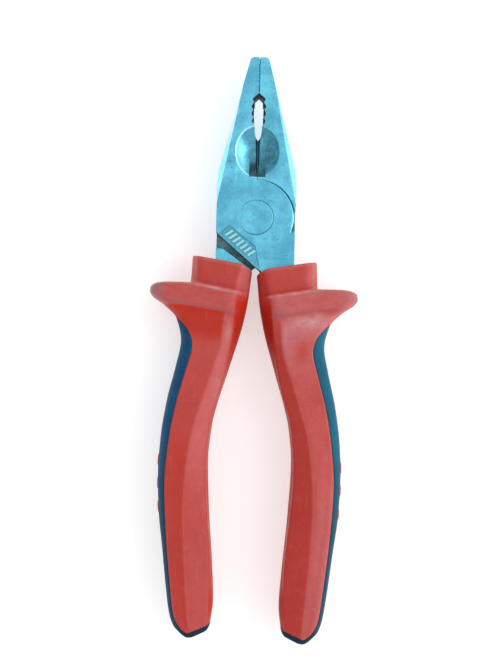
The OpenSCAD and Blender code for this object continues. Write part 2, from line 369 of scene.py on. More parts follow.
def dish_tool():
    """An ellipsoid's cap with a broken rim, closed above the face."""
    inner, deep = DISH_W - BREAK_W, DISH_DEPTH - BREAK_DROP
    rise = (inner**2 - deep**2) / (2 * deep)
    ball = rise + deep
    steps = 28
    profile = []
    for i in range(1, steps + 1):
        r = inner * i / steps
        profile.append((r, HALF_T - BREAK_DROP + rise - sqrt(ball**2 - r * r)))
    profile.append((DISH_W + 1.5, HALF_T + 1.5 * BREAK_DROP / BREAK_W))
    stretch, round_about = DISH_L / DISH_W, turns(120, 0.5)
    rings = [[(r * cos(a), DISH_Y + stretch * r * sin(a), z) for a in round_about] for r, z in profile]
    return loft("dish", [[(0, DISH_Y, HALF_T - DISH_DEPTH)], *rings])


def channel(name, section, near, far, drop=0.0, steps=1):
    """A (x, z) section run along Y, sinking by drop towards the near end, faster and faster."""
    rings = []
    for i in range(steps + 1):
        t = i / steps
        rings.append([(x, far + (near - far) * t, z - drop * t * t) for x, z in section])
    return loft(name, rings)


def blade_tools():
    """The steep flanks of the cutting edges, and the wider relief where the cutter starts."""
    top = HALF_T + 4
    bottom = DISH_Y - DISH_L + 0.25
    flank = [(0, 0.2), (0.75, 2.4), (1.2, top), (-1.2, top), (-0.75, 2.4)]
    relief = [(0, 2.0), (2.7, 2.35), (2.85, top), (-2.85, top), (-2.7, 2.35)]
    return [
        channel("flank", flank, bottom, DISH_Y + DISH_L - 0.7),
        channel("relief", relief, bottom, DISH_Y - 0.2, drop=1.7, steps=12),
    ]


def lap_break():
    """Takes the sharp corner off the round lap, more and more towards the side."""
    out = 0.6
    slope = BREAK_DROP / BREAK_W
    rings = []
    for a in np.linspace(LAP_START - 2, 88, 70):
        size = 0.05 + 0.95 * float(ramp(-a, -80, -58))
        width, drop = BREAK_W * size, BREAK_DROP * size
        section = [
            (LAP_R - width - out, HALF_T + out * slope), (LAP_R + out, HALF_T - drop - out * slope),
            (LAP_R + out, HALF_T + out * slope),
        ]
        rings.append([(r * cos(radians(a)), r * sin(radians(a)), z) for r, z in section])
    return loft("lap_break", rings)


def pipe_mouth():
    """Flares the pipe grip towards the face, so that its teeth stand on sloping walls."""
    edge = [(x, y) for x, y in jaw_edge() if PIPE_FROM + 2 < y < PIPE_TO + 0.1]
    flare, deep, above = 0.4, 1.3, 0.5

    def ring(amount, z):
        strength = [amount * float(ramp(y, 29, 33) * ramp(-y, -PIPE_TO, -40.8)) for _, y in edge]
        outline = [(x - w, y) for (x, y), w in zip(edge, strength)]
        return [(x, y, z) for x, y in outline + [(flare, edge[-1][1]), (flare, edge[0][1])]]

    top = ring(flare + above * flare / deep, HALF_T + above)
    return loft("pipe_mouth", [ring(0, HALF_T - deep), ring(flare, HALF_T), top])


def nicks():
    """Short dents that use has left on the front face."""
    dents = []
    for x, y, length, turn in NICKS:
        centre, a = np.array([x, y]), radians(turn)
        along = np.array([cos(a), sin(a)]) * length / 2
        across = np.array([-sin(a), cos(a)]) * NICK_HALF_W
        outline = [centre - along, centre + across, centre + along, centre - across]
        dents.append(prism("nick", outline, HALF_T - NICK_DEPTH, HALF_T + 0.5))
    return merge_into(*dents)


def parting_slot():
    """The thin line between the jaws, sunk into the face."""
    x, y = SLOT_HALF, PIPE_TO + 0.1
    outline = [(-x, y), (x, y), (x, JAW_REACH + 1), (-x, JAW_REACH + 1)]
    return prism("slot", outline, HALF_T - SLOT_DEPTH, HALF_T + 1)


def half_space(name, p, q, inset=0.0):
    """Everything outside a plane that meets the top face inset from p to q and falls away at 45 degrees."""
    p, q = np.array(p, float), np.array(q, float)
    along = (q - p) / np.linalg.norm(q - p)
    out = np.array([along[1], -along[0]])
    out *= np.sign(out @ p)
    reach, far = 30, 60
    section = [(0, 0), (reach, -reach), (reach, reach), (0, reach)]
    ends = (p - along * far - out * inset, q + along * far - out * inset)
    return loft(name, [[(*(end + out * o), HALF_T + z) for o, z in section] for end in ends])


def panel_tools():
    """A shallow panel along the lap's slanting edge, with a row of raised slanting ribs left standing."""
    corner = np.array(LAP_CORNER)
    along = np.array(CROTCH) - corner
    along /= np.linalg.norm(along)
    away = np.array([-along[1], along[0]])
    floor = HALF_T - PANEL_DEPTH
    panel = prism("panel", [corner + x * along + y * away for x, y in PANEL], floor, HALF_T + 1)
    for i in range(RIB_COUNT):
        x = RIB_FROM + RIB_PITCH * i
        rib = [(x, 1.2), (x + RIB_W, 1.2), (x + 2 * RIB_W, 4.2), (x + RIB_W, 4.2)]
        outline = [corner + x * along + y * away for x, y in rib]
        cut(panel, prism("rib", outline, floor - 0.5, HALF_T - RIB_DROP))
    return panel


def rivet_flank(fit=0.0):
    """The shank and the taper of the head, as (radius, z)."""
    return [(SHANK_R + fit, 0), (SHANK_R + fit, HALF_T - 1.65), (RIVET_R + fit, HALF_T - 0.45)]


def rivet_seat(fit):
    """Cuts the rivet's hole, with its countersink, down from the face."""
    flank = rivet_flank(fit)
    rim, above = RIVET_R + fit, 0.5
    top = [(rim, HALF_T - RIVET_RIM), (rim + RIVET_RIM + above, HALF_T + above), (0, HALF_T + above)]
    return lathe("seat", [(0, -1), (flank[0][0], -1)] + flank[1:] + top)


def lever(name, fit, dents):
    body = prism(name, upper_outline(), LAP_SPLIT, HALF_T)
    join(body, prism("jaw", lower_jaw_outline(), -HALF_T, LAP_SPLIT),
         prism("root", root_outline(), -HALF_T, LAP_SPLIT))
    bevel = half_space("bevel", *BEVEL_LINE)
    for tool in [bevel, dish_tool(), *blade_tools(), pipe_mouth(), parting_slot()]:
        cut(body, mirrored(tool), tool)
    if dents:
        cut(body, nicks())
    slant = half_space("slant", LAP_CORNER, CROTCH, SLANT_INSET)
    cut(body, lap_break(), slant, panel_tools(), rivet_seat(fit))
    join(body, prism("tang", tang_outline(), -TANG_HALF, TANG_HALF))
    return tidy(body)


def rivet(name):
    """The whole pin, with a tapered flush head at each end."""
    flank = rivet_flank()
    face = [(RIVET_R, HALF_T - RIVET_RIM), (RIVET_R - RIVET_RIM, HALF_T), (0, HALF_T)]
    half = flank[1:] + face
    return lathe(name, [(r, -z) for r, z in half[::-1]] + half)


# ---------- grips ----------

# d is a section's distance from the pivot down the grip, x runs across it; the knots below are (d, value).
GRIP_FROM = 15.1
HINGE_X = 22
GUARD_FROM = 23.9
COVER_FROM = 34.6
GRIP_TO = 145.4
TILT = [(GRIP_FROM, 0.17), (30, 0.17), (50, 0.1), (88, 0), (125, -0.08), (136, -0.2), (GRIP_TO, -0.42)]
INNER = [
    (GRIP_FROM, 0.85), (24.8, 1.75), (35.4, 3.6), (46, 6.3), (56, 9.1), (64, 11.4), (72, 13.2), (84, 14.3),
    (102, 13.55), (122, 11.95), (135, 11.3), (GRIP_TO, 12.2),
]
OUTER = [
    (GRIP_FROM, 21.4), (GUARD_FROM, 21.9), (24.5, GUARD_REACH - 4.2), (25.2, GUARD_REACH - 1.5),
    (26.4, GUARD_REACH - 0.2), (28, GUARD_REACH), (29.6, GUARD_REACH - 0.9), (32.4, 30.6), (36.4, 26.5),
    (44, 24.7), (52, 26.1), (64, 28.9), (77, 30.8), (88, 31.4), (100, 31), (115, 29.3), (130, 27.5),
    (137, 26.4), (141, 25.0), (GRIP_TO - 1.6, 22.4), (GRIP_TO, 20.7),
]
FACE_RIDGE = [
    (GRIP_FROM, 4.6), (28, 7.3), (34, 9.6), (43, 10.4), (58, 14.8), (78, 20.2), (98, 21.9), (GRIP_TO, 19),
]
INNER_RIDGE = [
    (GRIP_FROM, 3.4), (28, 6.1), (43, 7.6), (57, 9.8), (72, 13.8), (88, 14.9), (122, 12.6), (GRIP_TO, 13),
]
COLLAR_HALF, PALM_HALF = 8.8, 10.0
HALF_H = [
    (GRIP_FROM, COLLAR_HALF), (GUARD_FROM, COLLAR_HALF), (40, 8.4), (88, PALM_HALF), (130, 8.8),
    (GRIP_TO, 8),
]
EDGE_PART = [
    (GRIP_FROM, 0.68), (24.6, 0.64), (33, 0.42), (44, 0.24), (70, 0.3), (130, 0.42), (GRIP_TO, 0.55),
]
INNER_BULGE = 0.3
INNER_CORNER = 1.3
GUARD_LIFT = [(22.9, 0), (24.3, 1), (30.7, 1), (31.6, 0.8), (33.2, 0.38), (36.5, 0)]
RIDGE_PART = [(GRIP_FROM, 0.92), (34, 0.88), (50, 0.76), (130, 0.76), (GRIP_TO, 0.8)]
CROWN = [(GRIP_FROM, 0.985), (34, 0.95), (60, 0.93), (125, 0.93), (GRIP_TO, 0.95)]
RIDGE_ROUND = [(GRIP_FROM, 0.9), (60, 1.1), (110, 1.6), (GRIP_TO, 3)]
SIDE_ROUND, SIDE_POWER = 5, 0.8
COVER_EDGE = [
    (COVER_FROM - 0.2, 28.6), (COVER_FROM + 0.9, 26.9), (37.5, 24.6), (41.5, 21.5), (45.5, 20.6),
    (53, 22.3), (64, 25.3), (77, 27.6), (91, 28.8), (105, 28.2), (128, 26.0), (137, 24.7), (141.2, 22.4),
    (143.5, 18.9), (144.4, 17.4),
]
COVER_ROW = 143.9
TOP_ROUND, END_ROUND, END_LEAN = 0.55, 1.1, 1.1
SEAM_HALF, SEAM_DEPTH = 0.42, 0.3
COVER_TIP = 1.6


def half_at(d):
    """Half the grip's thickness."""
    return curve(HALF_H, d) + (GUARD_HALF - COLLAR_HALF) * curve(GUARD_LIFT, d)


def tilt_at(d, x):
    """How far a section's points stand off its station; the collar's inner corner is rounded down."""
    k = curve(TILT, d)
    corner = INNER_CORNER * (1 - ramp(x - curve(INNER, d), -0.4, 3.4)) * (1 - ramp(d, GRIP_FROM, 21))
    return np.where(x < HINGE_X, k, 0.3 * k) * (x - HINGE_X) - corner


def rounded_corner(before, corner, after, radius, count):
    """Points that round a corner of a polyline."""
    before, corner, after = (np.array(p, float) for p in (before, corner, after))
    one = min(radius, 0.42 * np.linalg.norm(before - corner))
    two = min(radius, 0.42 * np.linalg.norm(after - corner))
    a = corner + (before - corner) / np.linalg.norm(before - corner) * one
    b = corner + (after - corner) / np.linalg.norm(after - corner) * two
    return bezier(a, corner, b, count)


def ridges_at(d):
    """Where the face's ridge and the inner ridge lie across the grip."""
    ridge = np.minimum(curve(FACE_RIDGE, d), curve(OUTER, d) - 1.2)
    return ridge, np.minimum(curve(INNER_RIDGE, d), ridge - 0.4)


def outer_side(d):
    """The outer edge, how far its rounding reaches inwards, and the rounding's height."""
    outer = curve(OUTER, d)
    reach = np.minimum(SIDE_ROUND, 0.8 * (outer - ridges_at(d)[0]))
    return outer, reach, curve(CROWN, d) * half_at(d)


def half_profile(d):
    """The upper half of a section as dense (x, z) points, from the inner edge round to the outer one."""
    h, inner = half_at(d), curve(INNER, d)
    ridge, low = ridges_at(d)
    outer, reach, crown = outer_side(d)
    edge_top = h * curve(EDGE_PART, d)
    path = [(inner + INNER_BULGE * t * t, t * edge_top) for t in (0, 0.3, 0.6, 0.85)]
    points = [
        path[-1], (inner + INNER_BULGE, edge_top), (low, h * curve(RIDGE_PART, d)), (ridge, h),
        (outer - reach, crown),
    ]
    for i, radius in ((1, 1.6), (2, 0.9), (3, curve(RIDGE_ROUND, d))):
        path += rounded_corner(points[i - 1], points[i], points[i + 1], radius, 7)
    for a in np.linspace(0, pi / 2, 34):
        path.append((outer - reach + reach * sin(a) ** SIDE_POWER, crown * cos(a) ** SIDE_POWER))
    return np.array(path, float)


def path_lengths(path):
    """The distance along a polyline to each of its points."""
    return np.concatenate([[0], np.cumsum(np.hypot(*np.diff(path, axis=0).T))])


def resample(path, fractions):
    length = path_lengths(path)
    at = fractions * length[-1]
    return np.column_stack([np.interp(at, length, path[:, 0]), np.interp(at, length, path[:, 1])])


def seam_fraction(d, path):
    """Where the core's edge crosses a section, as a part of its length."""
    length = path_lengths(path)
    depth = d - tilt_at(d, path[:, 0])
    beyond = path[:, 0] - curve(COVER_EDGE, depth)
    beyond = np.where(path[:, 1] < 0.4, np.maximum(beyond, 0), beyond)
    inside = np.flatnonzero(beyond < 0)
    last = inside[-1] if len(inside) else len(path) - 2
    if last >= len(path) - 1:
        return 1.0
    t = beyond[last] / (beyond[last] - beyond[last + 1]) if beyond[last + 1] != beyond[last] else 1
    return (length[last] + t * (length[last + 1] - length[last])) / length[-1]


def cover_start():
    """The first station where the cover is wide enough to end in."""
    for d in np.arange(COVER_FROM, COVER_FROM + 3, 0.05):
        path = half_profile(d)
        if (1 - seam_fraction(d, path)) * path_lengths(path)[-1] > COVER_TIP:
            return d
    return COVER_FROM


# The grid's columns before and after the seam, and the ridge's place in a section's path and in the grid.
BEFORE, AFTER = 64, 18
RIDGE_POINT, RIDGE_COLUMN = 21, 26
SEAM_STEPS = np.array([-1.0, -0.55, -0.22, 0.0, 0.22, 0.55, 1.0])
SEAM_COLUMN = BEFORE + 3


def stations():
    """Distances of the sections, closer together where the shape changes quickly."""
    spans = [
        (GRIP_FROM, 22.4, 14), (22.4, 25.0, 26), (25.0, 34.0, 36), (34.0, 37.0, 20), (37.0, 60.0, 46),
        (60.0, 128.0, 100), (128.0, 142.2, 40),
    ]
    rows = np.concatenate([np.linspace(a, b, n, endpoint=False) for a, b, n in spans])
    groove = COVER_ROW + SEAM_HALF * SEAM_STEPS
    last = np.linspace(groove[-1] + 0.15, GRIP_TO - 0.5, 3)
    return np.concatenate([rows[rows < groove[0] - 0.2], groove, last])


ROWS = stations()
COVER_START = cover_start()
ROW_SEAM = int(np.argmin(abs(ROWS - COVER_ROW)))


def column_fractions(d, path):
    """Where the grid's columns cross a section, as parts of its length, and half the groove's width.

    The ridge and the seam keep their columns, so that cells stay square where the shape changes quickly.
    Above the cover the seam's columns run on at a fixed distance from the outer edge.
    """
    length = path_lengths(path)
    w = SEAM_HALF / length[-1]
    covered = d >= COVER_START
    at = min(seam_fraction(d, path), 1 - w - 0.01) if covered else 1 - COVER_TIP / length[-1]
    ridge = length[RIDGE_POINT] / length[-1]
    ridge += (0.4 * at - ridge) * float(ramp(d, 60, 100))
    fractions = np.concatenate([
        np.linspace(0, ridge, RIDGE_COLUMN + 1)[:-1],
        np.linspace(ridge, at - w, BEFORE - RIDGE_COLUMN + 1)[:-1],
        at + w * SEAM_STEPS, np.linspace(at + w, 1, AFTER + 1)[1:],
    ])
    return fractions, at, w


def grip_grid():
    """Points of the grip's upper half: an array (row, column, xyz), with the seam's groove pressed in."""
    grid = []
    for d in ROWS:
        path = half_profile(d)
        fractions, at, w = column_fractions(d, path)
        points = resample(path, fractions)
        steps = np.gradient(points, axis=0)
        normal = np.column_stack([-steps[:, 1], steps[:, 0]])
        normal /= np.maximum(np.linalg.norm(normal, axis=1), 1e-9)[:, None]
        groove = np.zeros(len(points))
        strength = float(ramp(d, COVER_START - 0.3, COVER_START + 0.5))
        column_near = unit(1 - abs(fractions - at) / w)
        if d < COVER_ROW - SEAM_HALF:
            groove = SEAM_DEPTH * strength * column_near**1.5
        row_near = float(unit(1 - abs(d - COVER_ROW) / SEAM_HALF)) ** 1.5
        column = np.arange(len(points))
        groove = np.maximum(groove, np.where(column <= SEAM_COLUMN, SEAM_DEPTH * row_near, 0))
        points = points - normal * groove[:, None]
        y = tilt_at(d, points[:, 0]) - d
        grid.append(np.column_stack([points[:, 0], y, points[:, 1]]))
    return np.array(grid)


def cap_rows(grid, row, shift, radius, count, lean=0.0):
    """Extra rows that round an end over; lean carries on the slope that the outer side arrives with."""
    base = grid[row]
    centre = np.array([base[:, 0].min() / 2 + base[:, 0].max() / 2, 0])
    half = np.array([np.ptp(base[:, 0]) / 2, base[:, 2].max()])
    slope = np.polyfit(base[:, 0], base[:, 1], 1)
    rows = []
    for a in np.linspace(0, pi / 2, count + 1)[1:]:
        scale = 1 - radius * (1 - cos(a)) / half
        x = centre[0] + (base[:, 0] - centre[0]) * scale[0]
        x = x - lean * radius * sin(a) * (base[:, 0] - base[:, 0].min()) / np.ptp(base[:, 0])
        z = base[:, 2] * scale[1]
        y = base[:, 1] + slope[0] * (x - base[:, 0]) + shift * radius * sin(a)
        rows.append(np.column_stack([x, y, z]))
    return rows


def closed_grip():
    """The whole grip as rows of points with rounded ends, and the index of its first true row."""
    grid = grip_grid()
    top = cap_rows(grid, 0, 1, TOP_ROUND, 4)[::-1]
    bottom = cap_rows(grid, -1, -1, END_ROUND, 6, END_LEAN)
    return np.concatenate([np.array(top), grid, np.array(bottom)]), len(top)


def bridge(upper, vertex, path):
    """Strips across the mid plane between the upper half and its mirror image, along a path of cells.

    Points that stand almost straight above each other at either end share one face.
    """
    at = np.array([upper[r, c, :2] for r, c in path])
    first = int(np.argmax(np.hypot(*(at - at[0]).T) > 0.05))
    last = len(path) - 1 - int(np.argmax(np.hypot(*(at[::-1] - at[-1]).T) > 0.05))
    groups = [range(first + 1)] + [(i, i + 1) for i in range(first, last)] + [range(last, len(path))]
    faces = []
    for group in groups:
        corners = [vertex(0, *path[i]) for i in group] + [vertex(1, *path[i]) for i in reversed(group)]
        corners = list(dict.fromkeys(corners))
        if len(corners) > 2:
            faces.append(corners)
    return faces


def half_and_mirror(upper, cells, paths):
    """The points and faces of a closed piece: cells of the upper half, their mirror image and bridges."""
    columns = upper.shape[1]
    lower = upper * np.array([1, 1, -1])
    points, index = [], {}

    def vertex(side, r, c):
        on_plane = c in (0, columns - 1)
        key = (0 if on_plane else side, r, c)
        if key not in index:
            index[key] = len(points)
            points.append((upper if key[0] == 0 else lower)[r, c])
        return index[key]

    faces = []
    for r, c in cells:
        for side in (0, 1):
            corners = [vertex(side, i, j) for i, j in ((r, c), (r + 1, c), (r + 1, c + 1), (r, c + 1))]
            faces.append(corners if side == 0 else corners[::-1])
    for path in paths:
        faces += bridge(upper, vertex, path)
    return points, faces


def grip_pieces(side):
    """The hard core and the soft cover of one grip, before they are placed."""
    full, first = closed_grip()
    rows, columns, _ = full.shape
    seam_row = ROW_SEAM + first
    start_row = int(np.argmax(ROWS > COVER_START)) + first
    last_column = columns - 1
    core_cells, cover_cells = [], []
    for r in range(rows - 1):
        for c in range(columns - 1):
            covered = r >= seam_row or (r >= start_row and c >= SEAM_COLUMN)
            (cover_cells if covered else core_cells).append((r, c))
    wall = (
        [(start_row, c) for c in range(last_column, SEAM_COLUMN - 1, -1)]
        + [(r, SEAM_COLUMN) for r in range(start_row + 1, seam_row + 1)]
        + [(seam_row, c) for c in range(SEAM_COLUMN - 1, -1, -1)]
    )
    collar_end = [(0, c) for c in range(columns)]
    tail_end = [(rows - 1, c) for c in range(columns)]
    core = mesh_object(side + "_grip_core_shell", *half_and_mirror(full, core_cells, [wall, collar_end]))
    cover = mesh_object(side + "_grip_cover_skin", *half_and_mirror(full, cover_cells, [wall, tail_end]))
    return outward(core), outward(cover)


PAD_DISTANCES = (85, 93, 101)
PAD_LONG, PAD_WIDE, PAD_POWER = 4.2, 2.2, 2.6
PAD_STAND, PAD_ROOT = 0.3, 1.2


def side_surface_x(d, z):
    """How far the grip's outer side stands at a height off the mid plane."""
    outer, reach, crown = outer_side(d)
    lean = np.arccos(unit(abs(z) / crown) ** (1 / SIDE_POWER))
    return outer - reach + reach * np.sin(lean) ** SIDE_POWER


def pad(distance):
    """An oval pad of the core that stands out through the cover."""
    steps, count = 12, 56
    rings = []
    for i in range(steps + 1):
        r = i / steps
        rise = PAD_STAND * (1 - r**6) if i < steps else -PAD_ROOT
        ring = []
        for a in turns(count if i else 1):
            oval = (abs(cos(a)) ** PAD_POWER + abs(sin(a)) ** PAD_POWER) ** (-1 / PAD_POWER)
            y, z = PAD_WIDE * r * oval * cos(a), PAD_LONG * r * oval * sin(a)
            ring.append((float(side_surface_x(distance - y, z)) + rise, y - distance, z))
        rings.append(ring)
    return loft("pad", rings)


def pocket():
    """The hollow that holds the lever's root and tang."""
    tool = prism("pocket", tang_outline(TANG_PLAY), -TANG_HALF - TANG_PLAY, TANG_HALF + TANG_PLAY)
    low, high = ROOT_IN - TANG_PLAY, HALF_W
    root = [(low, 0), (low, -ROOT_TO - TANG_PLAY), (high, -ROOT_TO - TANG_PLAY), (high, 0)]
    return join(tool, prism("root", root, -HALF_T - TANG_PLAY, HALF_T + TANG_PLAY))


# ---------- materials ----------


class Nodes:
    """A short way to write the nodes of a material or a world; the seed shifts its noises by the spread."""

    def __init__(self, owner, seed=0, spread=(0, 0, 0)):
        owner.use_nodes = True
        self.owner = owner
        self.tree = owner.node_tree
        self.tree.nodes.clear()
        self.offset = tuple(seed * part for part in spread)
        self.places = self.tree.nodes.new("ShaderNodeTexCoord").outputs
        self.shifted = self.stretch((1, 1, 1), 0.0)

    def add(self, kind, inputs=None, **settings):
        node = self.tree.nodes.new(kind)
        for key, value in settings.items():
            setattr(node, key, value)
        for key, value in (inputs or {}).items():
            self.feed(node.inputs[key], value)
        return node

    def feed(self, socket, value):
        if isinstance(value, bpy.types.NodeSocket):
            self.tree.links.new(value, socket)
        else:
            socket.default_value = value

    def maths(self, operation, a, b=0.0, clamp=False):
        return self.add("ShaderNodeMath", {0: a, 1: b}, operation=operation, use_clamp=clamp).outputs[0]

    def plus(self, total, *others):
        for other in others:
            total = self.maths("ADD", total, other)
        return total

    def times(self, product, *others):
        for other in others:
            product = self.maths("MULTIPLY", product, other)
        return product

    def minus(self, a, b):
        return self.maths("SUBTRACT", a, b)

    def size(self, a):
        return self.maths("ABSOLUTE", a)

    def length(self, a, b):
        return self.maths("SQRT", self.plus(self.times(a, a), self.times(b, b)))

    def split(self, vector):
        return self.add("ShaderNodeSeparateXYZ", {"Vector": vector}).outputs[:]

    def millimetres(self):
        """Where the point lies: x, y and z."""
        return [self.times(axis, 1 / MM) for axis in self.split(self.places["Object"])]

    def stretch(self, scale, turn):
        inputs = {"Vector": self.places["Object"], "Scale": scale, "Location": self.offset}
        node = self.add("ShaderNodeMapping", inputs)
        node.inputs["Rotation"].default_value = (0, 0, turn)
        return node.outputs[0]

    def noise(self, scale, detail, rough, distortion=0.0, vector=None):
        inputs = {"Vector": vector or self.shifted, "Scale": scale, "Detail": detail, "Roughness": rough,
                  "Distortion": distortion}
        return self.add("ShaderNodeTexNoise", inputs).outputs["Fac"]

    def streaks(self, scale, turn, detail, rough):
        """Noise that is stretched: a low scale along an axis makes long marks along it."""
        return self.noise(1.0, detail, rough, vector=self.stretch(scale, turn))

    def band(self, value, low, high, out_low=0.0, out_high=1.0):
        node = self.add("ShaderNodeMapRange", {"Value": value, "From Min": low, "From Max": high,
                                               "To Min": out_low, "To Max": out_high})
        node.interpolation_type = "SMOOTHSTEP"
        return node.outputs[0]

    def between(self, value, a, b, c, d):
        """A mask that rises from a to b and falls from c to d."""
        return self.times(self.band(value, a, b), self.band(value, d, c))

    def mix(self, factor, a, b):
        node = self.add("ShaderNodeMix", data_type="RGBA")
        self.feed(node.inputs["Factor"], factor)
        colours = [socket for socket in node.inputs if socket.type == "RGBA"]
        self.feed(colours[0], a)
        self.feed(colours[1], b)
        return [socket for socket in node.outputs if socket.type == "RGBA"][0]

    def over(self, base, colour, *masks):
        """base with a colour laid over it, as strongly as the masks' product."""
        return self.mix(self.times(*masks), base, colour)

    def attribute(self, name):
        return self.add("ShaderNodeAttribute", attribute_name=name).outputs["Fac"]

    def finish(self, bump, strength, distance, edge, **principled):
        """Ends in a principled shader; distance is the bumps' height, edge the corners' radius, in mm."""
        rounded = self.add("ShaderNodeBevel", {"Radius": edge * MM}, samples=6).outputs[0]
        bump_inputs = {"Height": bump, "Strength": strength, "Distance": distance * MM, "Normal": rounded}
        inputs = {key.replace("_", " "): value for key, value in principled.items()}
        inputs["Normal"] = self.add("ShaderNodeBump", bump_inputs).outputs[0]
        shader = self.add("ShaderNodeBsdfPrincipled", inputs).outputs[0]
        self.add("ShaderNodeOutputMaterial", {"Surface": shader})
        return self.owner


def rgb(r, g, b):
    return (r, g, b, 1.0)


STEEL_DULL, STEEL_BRIGHT = rgb(0.112, 0.47, 0.67), rgb(0.180, 0.68, 0.90)
STAIN_DARK, STAIN_PALE = rgb(0.125, 0.36, 0.47), rgb(0.26, 0.80, 0.97)
GRAIN_DARK, GRAIN_PALE = rgb(0.06, 0.30, 0.42), rgb(0.30, 0.82, 0.97)
GRINDING_RING, SCRATCH, SPECK = rgb(0.06, 0.25, 0.36), rgb(0.05, 0.18, 0.25), rgb(0.05, 0.16, 0.21)
RIVET_LINE = rgb(0.03, 0.13, 0.19)
# The dish's painted highlight, its painted shade and the painted highlight along its rim.
DISH_HIGHLIGHT, DISH_SHADE, DISH_RIM_HIGHLIGHT = rgb(0.36, 0.92, 0.98), rgb(0.035, 0.115, 0.145), rgb(0.55, 0.96, 1.0)
# Painted shade for the bottom of the blade's relief.
RELIEF_SHADE = rgb(0.03, 0.06, 0.07)
# Painted shade for the panel's floor and a painted highlight for its ribs' tops.
PANEL_SHADE, RIB_HIGHLIGHT = rgb(0.07, 0.24, 0.31), rgb(0.48, 0.94, 1.0)
# The sunk ledge's tones: unground steel, darker in its own right, with painted shade from the deep recess
# in them as well.
LEDGE_DARK, LEDGE_PALE = rgb(0.07, 0.155, 0.185), rgb(0.25, 0.42, 0.46)
# Painted highlights for the jaws' bevels, in place of the bright reflections there, lighter on the front
# lever than on the rear.
FRONT_BEVEL_HIGHLIGHT = rgb(0.36, 0.86, 0.97), rgb(0.60, 0.89, 0.95)
REAR_BEVEL_HIGHLIGHT = rgb(0.30, 0.66, 0.76), rgb(0.26, 0.64, 0.75)
SCALE_DARK, SCALE_PALE = rgb(0.018, 0.028, 0.032), rgb(0.050, 0.078, 0.086)
RED_LOW, RED_HIGH = rgb(0.44, 0.030, 0.020), rgb(0.50, 0.042, 0.030)
RED_PALE, RED_DARK, RED_SPECK = rgb(0.58, 0.13, 0.12), rgb(0.33, 0.016, 0.012), rgb(0.22, 0.03, 0.03)
# A painted sheen for faces turned to the light, then colours for scuffs and dirt.
RED_SHEEN, RED_SCUFF_AND_SHEEN, RED_DIRT = rgb(0.54, 0.142, 0.152), rgb(0.56, 0.27, 0.28), rgb(0.18, 0.10, 0.125)
# Painted light and shade in a saturated red: darker on the right grip, whose inner side faces away from the
# light, brighter orange on the left, whose inner side faces it.
SHADE_TONES = {"right": rgb(0.38, 0.011, 0.004), "left": rgb(0.47, 0.022, 0.006)}
# Painted light: the right cover faces the light and gets a lighter copy of the blue, the left one a darker
# copy.
COVER_LIT_AND_SHADED_TONES = {
    "right": (rgb(0.007, 0.098, 0.160), rgb(0.012, 0.127, 0.206)),
    "left": (rgb(0.004, 0.050, 0.120), rgb(0.008, 0.072, 0.170)),
}
BLUE_DUST, BLUE_SCRATCH = rgb(0.035, 0.12, 0.18), rgb(0.10, 0.20, 0.26)
# The blue darkens towards the bottom, and a painted shade darkens the end where it wraps round.
BLUE_DARKER_DOWN, BLUE_END_SHADE = rgb(0.010, 0.040, 0.065), rgb(0.010, 0.026, 0.034)
FLOOR_LOW, FLOOR_HIGH, FLOOR_GLOW = rgb(0.74, 0.74, 0.74), rgb(0.77, 0.77, 0.77), 0.46
# Thin scratches: how their noise is stretched and turned, and the level above which it shows.
SCRATCHES = [
    ((60, 2600, 60), 0.9, 0.69), ((1900, 50, 50), 0.4, 0.70), ((45, 1700, 45), -0.25, 0.71),
    ((2300, 80, 80), -0.8, 0.70),
]


class SteelPlace:
    """Where a point of the steel lies, in millimetres, and which way it faces, as sockets."""

    def __init__(self, n):
        self.x, self.y, self.z = n.millimetres()
        normal_x, _, normal_z = n.split(n.places["Normal"])
        self.sideways, self.upward = n.size(normal_x), n.size(normal_z)
        self.radius = n.length(self.x, self.y)
        self.depth = n.size(n.minus(self.z, MID_Z))
        self.below = n.minus(HALF_T, self.depth)
        along = n.times(n.minus(self.y, DISH_Y), 1 / DISH_L)
        self.oval = n.length(n.times(self.x, 1 / DISH_W), along)


def ground_steel(n, cloud, patch):
    """The plated steel's colour: cloudy, stained here and there, with a fine grain."""
    grain = n.noise(1700, 3, 0.7)
    colour = n.mix(n.band(cloud, 0.36, 0.64), STEEL_DULL, STEEL_BRIGHT)
    colour = n.over(colour, STAIN_DARK, n.band(patch, 0.48, 0.70, 0, 0.36))
    colour = n.over(colour, STAIN_PALE, n.band(patch, 0.44, 0.30, 0, 0.4))
    colour = n.over(colour, GRAIN_DARK, n.band(grain, 0.44, 0.26, 0, 0.55))
    return n.over(colour, GRAIN_PALE, n.band(grain, 0.56, 0.74, 0, 0.45))


def steel_wear(n, at, cloud, patch):
    """Scratches, specks and the rings left by grinding, as masks."""
    scratches = 0.0
    for scale, turn, level in SCRATCHES:
        line = n.band(n.streaks(scale, turn, 2, 0.5), level, level + 0.05)
        scratches = n.maths("MAXIMUM", line, scratches)
    specks = n.band(n.noise(850, 3, 0.6), 0.63, 0.70)
    wobble = n.times(n.plus(at.radius, n.times(cloud, 1.2)), 2.3)
    circles = n.add("ShaderNodeCombineXYZ", {"X": wobble}).outputs[0]
    rings = n.times(n.band(n.noise(1.0, 1, 0.5, vector=circles), 0.56, 0.68), n.band(patch, 0.45, 0.62))
    return scratches, specks, rings


def rivet_line(n, at):
    """The dark line round the rivet's head, strongest at its lower right."""
    line = n.between(at.radius, RIVET_R - 0.04, RIVET_R + 0.05, RIVET_R + 0.20, RIVET_R + 0.42)
    lower_right = n.minus(at.x, n.times(at.y, 0.6))
    return n.times(line, n.band(lower_right, -4, 4, 0.05, 0.9))


def bevel_mask(n, at):
    """The sloping sides of the jaws on the front."""
    sloped = n.times(n.band(at.sideways, 0.45, 0.6), n.band(at.upward, 0.45, 0.6))
    return n.times(sloped, n.band(at.oval, 1.05, 1.15), n.band(at.z, MID_Z, MID_Z + 1))


